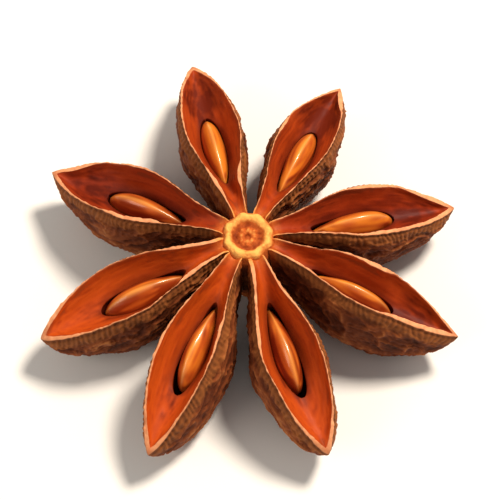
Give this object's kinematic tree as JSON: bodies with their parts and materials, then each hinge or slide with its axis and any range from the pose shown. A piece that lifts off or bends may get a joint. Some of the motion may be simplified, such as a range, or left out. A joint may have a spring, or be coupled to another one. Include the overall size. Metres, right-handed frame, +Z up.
{
  "type": "star anise pod",
  "caption": "Dried star-shaped spice pod: open, boat-shaped husks round a short central column, each with a glossy flattened seed lying on edge in it.",
  "frame": {"origin": "centre of the stalk's broken end, on the surface that the pod rests on", "axes": "+Z up the column, out of the open side of the pod; seed_1's carpel points about 16 degrees from +X towards +Y, and the others follow counter-clockwise"},
  "size_m": [0.0326, 0.0335, 0.0093],
  "materials": {
    "pericarp": "dry, rough and matt",
    "seed_coat": "smooth and glossy, like varnish"
  },
  "bodies": {
    "root": {"pod": "pericarp", "seed_1": "seed_coat", "seed_2": "seed_coat", "seed_3": "seed_coat", "seed_4": "seed_coat", "seed_5": "seed_coat", "seed_6": "seed_coat", "seed_7": "seed_coat", "seed_8": "seed_coat"}
  },
  "joints": []
}
